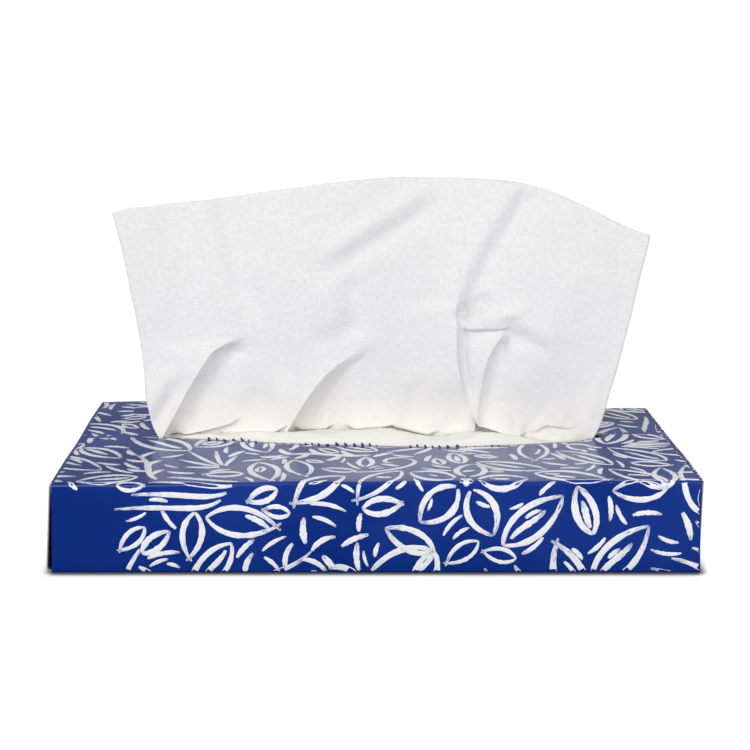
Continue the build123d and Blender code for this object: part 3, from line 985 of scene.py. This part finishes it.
def painted_warm_light_group():
    """Mask of the painted warm light: one low on the standing tissue and nothing above, with an uneven
    border. Its position is the object's own, in metres."""
    inputs = {"Position": None, "Low": 0.034, "High": 0.06}
    group, given, result = new_group("painted warm light mask", inputs, ("Mask",))
    z = add(group, "ShaderNodeSeparateXYZ", {0: given["Position"]}).outputs["Z"]
    cloudy = noise(group, given["Position"], 38.0)
    height = math_node(group, "ADD", math_node(group, "MULTIPLY_ADD", cloudy, -0.022, z), 0.011)
    span = math_node(group, "SUBTRACT", given["High"], given["Low"])
    share = math_node(group, "DIVIDE", math_node(group, "SUBTRACT", height, given["Low"]), span, clamp=True)
    feed(group, result, {"Mask": math_node(group, "SUBTRACT", 1.0, share, clamp=True)})
    return group


def board_group():
    """Surface of printed board: slow hollows, a fine peel and pressed fibres. Gives a height and a mask of
    the fibres. Its position is the object's own, in metres."""
    group, given, result = new_group("board surface", {"Position": None}, ("Height", "Fibres"))
    position = given["Position"]
    hollows = noise(group, position, 110.0, 2.0, 0.4)
    peel = noise(group, position, 900.0)
    fibres = noise(group, position, (500, 1400, 1400), 3.0, 0.7, 0.6)
    height = weighted(group, (hollows, 0.75), (peel, 0.06))
    feed(group, result, {"Height": height, "Fibres": ramped(group, fibres, 0.35, 0.7)})
    return group


def new_material(name):
    """Material with a plain shader. Gives the material, its node tree and its texture positions."""
    material = bpy.data.materials.new(name)
    material.use_nodes = True
    tree = material.node_tree
    return material, tree, add(tree, "ShaderNodeTexCoord").outputs


def placed(tree, group, position, **inputs):
    """Outputs of a shared group at a position."""
    return add(tree, "ShaderNodeGroup", {"Position": position, **inputs}, node_tree=group).outputs


def dress(tree, colour, roughness, height, strength, distance, plain):
    """Feed the shader a colour, a roughness, a bump in millimetres at full height and plain values."""
    bump = add(tree, "ShaderNodeBump", {"Height": height, "Strength": strength, "Distance": distance * MM})
    inputs = {"Base Color": colour, "Roughness": roughness, "Normal": bump.outputs["Normal"], **plain}
    feed(tree, tree.nodes["Principled BSDF"], inputs)


def varnished_board(board_surface):
    """Blue print under varnish, a little paler in clouds and with fine dark specks."""
    material, tree, texture = new_material("varnished_board")
    position = texture["Object"]
    surface = placed(tree, board_surface, position)
    deep = bpy.context.scene.tissue_box_carton.print_colour
    cloudy = ramped(tree, noise(tree, position, 26.0, 3.0), 0.3, 0.72)
    colour = mixed(tree, cloudy, deep, shaded(deep, 1.25, 0.004))
    speck = math_node(tree, "MULTIPLY", ramped(tree, noise(tree, position, 2600.0), 0.66, 0.8), 0.25)
    colour = mixed(tree, speck, colour, shaded(deep, 0.7))
    dress(tree, colour, ramped(tree, cloudy, 0, 1, 0.17, 0.24), surface["Height"], 0.35, 0.12, VARNISH)
    return material


def raw_board(name, board_surface, share):
    """Grey inside or paler cut edge of the board, with fibres. The inside's darker share of the raw grey is
    partly the board's own colour and partly painted shade for the shadowed gaps where it shows.
    """
    material, tree, texture = new_material(name)
    fibres = placed(tree, board_surface, texture["Object"])["Fibres"]
    raw = shaded(bpy.context.scene.tissue_box_carton.raw_colour, share)
    colour = mixed(tree, fibres, raw, shaded(raw, 0.78))
    dress(tree, colour, ramped(tree, fibres, 0, 1, 0.8, 0.95), fibres, 0.5, 0.06, {})
    return material


def brushed_ink(board_surface):
    """White ink drawn with a dry brush: streaks along a stroke let the blue show, more so near its ends."""
    material, tree, texture = new_material("brushed_ink")
    surface = placed(tree, board_surface, texture["Object"])
    streaks = noise(tree, texture["UV"], (0.35, 5.5, 1), 3.0, 0.62)
    ends = add(tree, "ShaderNodeAttribute", attribute_name="stroke_end").outputs["Fac"]
    off = math_node(tree, "ABSOLUTE", math_node(tree, "SUBTRACT", ends, 0.42))
    bare = ramped(tree, math_node(tree, "MULTIPLY_ADD", off, 0.42, streaks), 0.68, 0.8)
    thin = ramped(tree, noise(tree, texture["Object"], 420.0), 0.35, 0.8, 0.0, 0.4)
    white = bpy.context.scene.tissue_box_print.ink_colour
    blue = bpy.context.scene.tissue_box_carton.print_colour
    colour = mixed(tree, bare, mixed(tree, thin, white, shaded(white, 0.8)), shaded(blue, 1.3))
    dress(tree, colour, ramped(tree, bare, 0, 1, 0.3, 0.2), surface["Height"], 0.35, 0.12, VARNISH)
    return material


def tissue_paper(name, crepe, foot, painted_light_low, painted_light_high):
    """Soft white tissue: crepe and clumps from the flat sheet's own position, and a cream tint low down that
    is painted warm light.
    """
    material, tree, texture = new_material(name)
    colours = bpy.context.scene.tissue_box_tissue
    wrinkles = placed(tree, crepe, texture["UV"])
    low = placed(tree, foot, texture["Object"], Low=painted_light_low, High=painted_light_high)
    cool = colours.sheet_colour
    colour = mixed(tree, wrinkles["Shade"], cool, shaded(cool, 0.915))
    # Painted warm light: a cream colour mixed in low down by the mask.
    colour = mixed(tree, low["Mask"], colour, colours.warm_light_colour)
    roughness = ramped(tree, wrinkles["Shade"], 0, 1, 0.86, 0.96)
    dress(tree, colour, roughness, wrinkles["Height"], 0.9, 0.25, SOFT_PAPER)
    return material


def pile_paper(crepe):
    """Edges and faces of the tissues in the pile, layered by height: bands in the bump, and darker bands of
    colour that are painted shade between the sheets.
    """
    material, tree, texture = new_material("pile_paper")
    inputs = {"Vector": texture["Object"], "Scale": 420.0, "Distortion": 1.2}
    layer_relief_and_painted_shade = add(tree, "ShaderNodeTexWave", inputs, wave_type="BANDS", bands_direction="Z").outputs["Fac"]
    wrinkles = placed(tree, crepe, texture["Object"])
    cool = bpy.context.scene.tissue_box_tissue.sheet_colour
    # Painted shade: darker colour in the bands between the sheets.
    colour = mixed(tree, layer_relief_and_painted_shade, cool, shaded(cool, 0.86))
    dress(tree, colour, 0.95, math_node(tree, "ADD", layer_relief_and_painted_shade, wrinkles["Height"]), 0.5, 0.2, {})
    return material


def paper_floor():
    """Plain white sheet that the box stands on. Its shading shows only close to the box, with a painted
    contact shadow there: a dark colour within a few millimetres of the box, where its glow is turned off. It
    bounces little light, with painted shade in that bounce close to the box, and glossy rays see it nearly
    black, a painted dark reflection, so that the box keeps its contrast."""
    material, tree, texture = new_material("paper_floor")
    sizes = bpy.context.scene.tissue_box_carton
    split = add(tree, "ShaderNodeSeparateXYZ", {0: texture["Object"]}).outputs
    squares = []
    for axis, size in (("X", sizes.length), ("Y", sizes.depth)):
        off = math_node(tree, "SUBTRACT", math_node(tree, "ABSOLUTE", split[axis]), size / 2 - 0.002)
        off = math_node(tree, "MAXIMUM", off, 0.0)
        squares.append(math_node(tree, "MULTIPLY", off, off))
    distance = math_node(tree, "SQRT", math_node(tree, "ADD", *squares))
    # Painted contact shadow: dark colour and no glow within 2 millimetres of the box, fading out by 6.5
    # millimetres.
    outside_painted_shadow = ramped(tree, distance, 0.002, 0.0065)
    paper = mixed(tree, noise(tree, texture["Object"], 9.0), (0.93, 0.93, 0.93), (0.95, 0.95, 0.95))
    shader = tree.nodes["Principled BSDF"]
    inputs = {
        "Base Color": mixed(tree, outside_painted_shadow, (0.16, 0.16, 0.19), paper),
        "Emission Color": mixed(tree, outside_painted_shadow, (0, 0, 0), (0.32, 0.32, 0.32)),
        "Emission Strength": 1.0,
        "Roughness": 0.8,
        "Specular IOR Level": 0.1,
    }
    feed(tree, shader, inputs)
    white = add(tree, "ShaderNodeEmission", {"Color": (*WHITE, 1), "Strength": BACKDROP_STRENGTH})
    seen = shaders_mixed(tree, ramped(tree, distance, 0.003, 0.01), shader, white)
    # Painted shade in the light the floor bounces: its grey darkens within 20 millimetres of the box.
    bounce_painted_shade = mixed(tree, ramped(tree, distance, 0.0, 0.02), (0.12, 0.12, 0.13), (0.6, 0.6, 0.61))
    bounce = add(tree, "ShaderNodeBsdfDiffuse", {"Color": bounce_painted_shade})
    # Painted dark reflection: glossy rays see the floor nearly black.
    reflection_painted_dark = add(tree, "ShaderNodeBsdfDiffuse", {"Color": (0.05, 0.055, 0.07, 1)})
    by_ray(tree, seen, reflection_painted_dark, bounce, "Material Output")
    return material


# Settings


def length_setting(name, description, default, least):
    """Length in metres with a least value."""
    return FloatProperty(name=name, description=description, default=default, min=least, unit="LENGTH")


def colour_setting(name, description, default):
    """Plain colour."""
    return FloatVectorProperty(name=name, description=description, subtype="COLOR", default=default)


class TissueBoxCarton(bpy.types.PropertyGroup):
    """Sizes and colours of the carton"""

    length: length_setting("Length", "Outside length of the carton", 0.23, 0.05)
    depth: length_setting("Depth", "Outside depth of the carton", 0.115, 0.03)
    height: length_setting("Height", "Outside height of the carton", 0.033, 0.01)
    board: length_setting("Board", "Thickness of the board", 0.00045, 0.0001)
    print_colour: colour_setting("Print", "Colour printed all over the board", (0.0015, 0.024, 0.2))
    # Raw grey kept dark: partly the board's own colour, partly painted shade.
    raw_colour: colour_setting("Raw board", "Colour of the board's inside", (0.46, 0.45, 0.43))


class TissueBoxPrint(bpy.types.PropertyGroup):
    """Sizes and colour of the brushed print"""

    motif_size: length_setting("Motif", "Length of the largest motif", 0.03, 0.005)
    stroke_width: length_setting("Stroke", "Greatest width of a stroke", 0.0021, 0.0002)
    stroke_gap: length_setting("Gap", "Least distance between the middles of strokes", 0.0019, 0.001)
    ink_height: length_setting("Ink", "Height of the ink on the board", 0.00007, 0.00002)
    seed: IntProperty(name="Seed", description="Changes the places of all motifs", default=22, min=0)
    ink_colour: colour_setting("Ink colour", "Colour of the strokes", (0.87, 0.88, 0.93))


class TissueBoxTissue(bpy.types.PropertyGroup):
    """Sizes and colours of the tissues"""

    width: length_setting("Width", "Width of a flat tissue", 0.208, 0.05)
    length: length_setting("Length", "Length of a flat tissue", 0.21, 0.05)
    thickness: length_setting("Thickness", "Thickness of a soft tissue", 0.00022, 0.0001)
    sheet_colour: colour_setting("Sheet", "Colour of a tissue", (0.82, 0.82, 0.825))
    # Painted warm light: the cream colour put low on the tissues.
    warm_light_colour: colour_setting("Warm light", "Painted warm light low on the tissues", (0.88, 0.86, 0.815))


class TissueBoxStage(bpy.types.PropertyGroup):
    """Camera and light"""

    lens: FloatProperty(
        name="Lens", description="Focal length of the camera", default=75.2, min=10, unit="CAMERA"
    )
    key_power: FloatProperty(
        name="Key light",
        description="Power of the large light at the left",
        default=15.4,
        min=0,
        unit="POWER",
    )
    sky: FloatProperty(name="Sky", description="Strength of the light from all round", default=0.36, min=0)


# Operators


class TISSUEBOX_OT_carton(bpy.types.Operator):
    """Build the folded carton with its flaps and torn opening"""

    bl_idname = "tissuebox.carton"
    bl_label = "Carton"

    def execute(self, context):
        sizes = context.scene.tissue_box_carton
        inside = (0, 0, sizes.height / MM / 2)
        points, faces = join_grids(wrap_grids() + flap_grids(), inside)
        surface = board_group()
        materials = [
            varnished_board(surface),
            # The inside at a lower share of the raw grey than the cut edge: painted shade.
            raw_board("raw_board", surface, 0.55),
            raw_board("cut_edge", surface, 1.0),
        ]
        carton = make_piece("carton_board", points, faces, materials, merge=0.02)
        thicken(carton, sizes.board / MM, -1, board=True)
        tabs = make_piece("torn_tabs", *tabs_mesh(), materials)
        thicken(tabs, TAB_THICKNESS, -1, board=True)
        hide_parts("carton")
        for piece in (carton, tabs):
            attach(piece, "root")
        return {"FINISHED"}


class TISSUEBOX_OT_print(bpy.types.Operator):
    """Paint the white brush strokes on the carton"""

    bl_idname = "tissuebox.print"
    bl_label = "Print"

    def execute(self, context):
        points, faces, texture = print_mesh()
        surface = bpy.data.node_groups["board surface"]
        strokes = make_piece("brush_strokes", points, faces, [brushed_ink(surface)], uv=texture[:, :2])
        ends = strokes.data.attributes.new("stroke_end", "FLOAT", "POINT")
        ends.data.foreach_set("value", texture[:, 2].astype(np.float32))
        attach(strokes, "root")
        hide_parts("printed_leaves")
        return {"FINISHED"}


class TISSUEBOX_OT_tissues(bpy.types.Operator):
    """Build the pulled tissue, the next one and the pile"""

    bl_idname = "tissuebox.tissues"
    bl_label = "Tissues"

    def execute(self, context):
        sizes = context.scene.tissue_box_tissue
        crepe, foot = crepe_group(), painted_warm_light_group()
        # Both papers get painted warm light low down, the next one over most of its height.
        paper = tissue_paper("pulled_paper", crepe, foot, 0.034, 0.062)
        next_tissue_paper = tissue_paper("next_paper", crepe, foot, 0.04, 0.07)
        for name, (grid, uv), material, node, slot, held, rests_on in (
            ("pulled_sheet", pulled_sheet(), paper, "pulled_tissue", "tissue", "gathered", ["next_sheet"]),
            ("next_sheet", next_sheet(), next_tissue_paper, "next_tissue", "tissue_lining", "folded", ["pile"]),
        ):
            faces = grid_faces(*grid.shape[:2])
            sheet = make_piece(name, grid.reshape(-1, 3), faces, [material], uv=uv.reshape(-1, 2) * MM)
            thicken(sheet, sizes.thickness / MM, 0)
            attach(sheet, "root")
            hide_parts(node)
        points, faces = join_grids(pile_grids(), (0, 0, PILE_TOP / 2))
        pile = make_piece("pile", points, faces, [pile_paper(crepe)], merge=0.01)
        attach(pile, "root")
        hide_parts("tissue_pile")
        return {"FINISHED"}


class TISSUEBOX_OT_stage(bpy.types.Operator):
    """Set up the floor, the lights and the camera"""

    bl_idname = "tissuebox.stage"
    bl_label = "Stage"

    def execute(self, context):
        scene = context.scene
        settings = scene.tissue_box_stage
        scene.view_settings.view_transform = "Standard"
        side = np.linspace(-FLOOR_HALF, FLOOR_HALF, 25)
        ground = spread(side, side[:, None], -0.02)
        faces = grid_faces(len(side), len(side))
        floor = make_piece("floor", ground.reshape(-1, 3), faces, [paper_floor()])

        world = bpy.data.worlds.new("studio")
        scene.world = world
        world.use_nodes = True
        tree = world.node_tree
        sky = tree.nodes["Background"]
        feed(tree, sky, {"Color": (*WARM_WHITE, 1), "Strength": settings.sky})
        seen = add(tree, "ShaderNodeBackground", {"Color": (*WHITE, 1), "Strength": BACKDROP_STRENGTH})
        dim = add(tree, "ShaderNodeBackground", {"Color": (0.9, 0.93, 1, 1), "Strength": 0.3})
        by_ray(tree, seen, dim, sky, "World Output")

        for name, place, size, share, colour in LIGHTS:
            lamp = bpy.data.lights.new(name, "AREA")
            lamp.shape = "RECTANGLE"
            lamp.size, lamp.size_y = size
            lamp.energy = settings.key_power * share
            lamp.color = colour
            light = bpy.data.objects.new(name, lamp)
            scene.collection.objects.link(light)
            light.location = place
            light.rotation_euler = light.location.to_track_quat("Z", "Y").to_euler()

        lens = bpy.data.cameras.new("camera")
        lens.lens = settings.lens
        lens.sensor_width = 36
        lens.clip_start = 0.01
        camera = bpy.data.objects.new("camera", lens)
        scene.collection.objects.link(camera)
        camera.matrix_world = Matrix.Translation([part * MM for part in CAMERA_PLACE])
        for angle, axis in ((CAMERA_TURN, "Z"), (90 - CAMERA_TILT, "X"), (CAMERA_ROLL, "Z")):
            camera.matrix_world = camera.matrix_world @ Matrix.Rotation(math.radians(angle), 4, axis)
        scene.camera = camera
        return {"FINISHED"}


class TISSUEBOX_PT_panel(bpy.types.Panel):
    """Sizes, colours and building steps of the tissue box"""

    bl_label = "Tissue box"
    bl_idname = "TISSUEBOX_PT_panel"
    bl_space_type = "VIEW_3D"
    bl_region_type = "UI"
    bl_category = "Tissue box"

    def draw(self, context):
        for group in GROUPS:
            settings = getattr(context.scene, group)
            column = self.layout.column(align=True)
            for name in settings.bl_rna.properties.keys():
                if name not in ("rna_type", "name"):
                    column.prop(settings, name)
        for operator in OPERATORS:
            self.layout.operator(operator.bl_idname)


GROUPS = {
    "tissue_box_carton": TissueBoxCarton,
    "tissue_box_print": TissueBoxPrint,
    "tissue_box_tissue": TissueBoxTissue,
    "tissue_box_stage": TissueBoxStage,
}
OPERATORS = (TISSUEBOX_OT_stage, TISSUEBOX_OT_carton, TISSUEBOX_OT_print, TISSUEBOX_OT_tissues)


def register():
    for name, group in GROUPS.items():
        bpy.utils.register_class(group)
        setattr(bpy.types.Scene, name, PointerProperty(type=group))
    for operator in OPERATORS:
        bpy.utils.register_class(operator)
    bpy.utils.register_class(TISSUEBOX_PT_panel)


def unregister():
    bpy.utils.unregister_class(TISSUEBOX_PT_panel)
    for operator in reversed(OPERATORS):
        bpy.utils.unregister_class(operator)
    for name, group in GROUPS.items():
        delattr(bpy.types.Scene, name)
        bpy.utils.unregister_class(group)


def main():
    register()
    bpy.ops.tissuebox.stage()
    bpy.ops.tissuebox.carton()
    bpy.ops.tissuebox.print()
    bpy.ops.tissuebox.tissues()


if __name__ == "__main__":
    main()
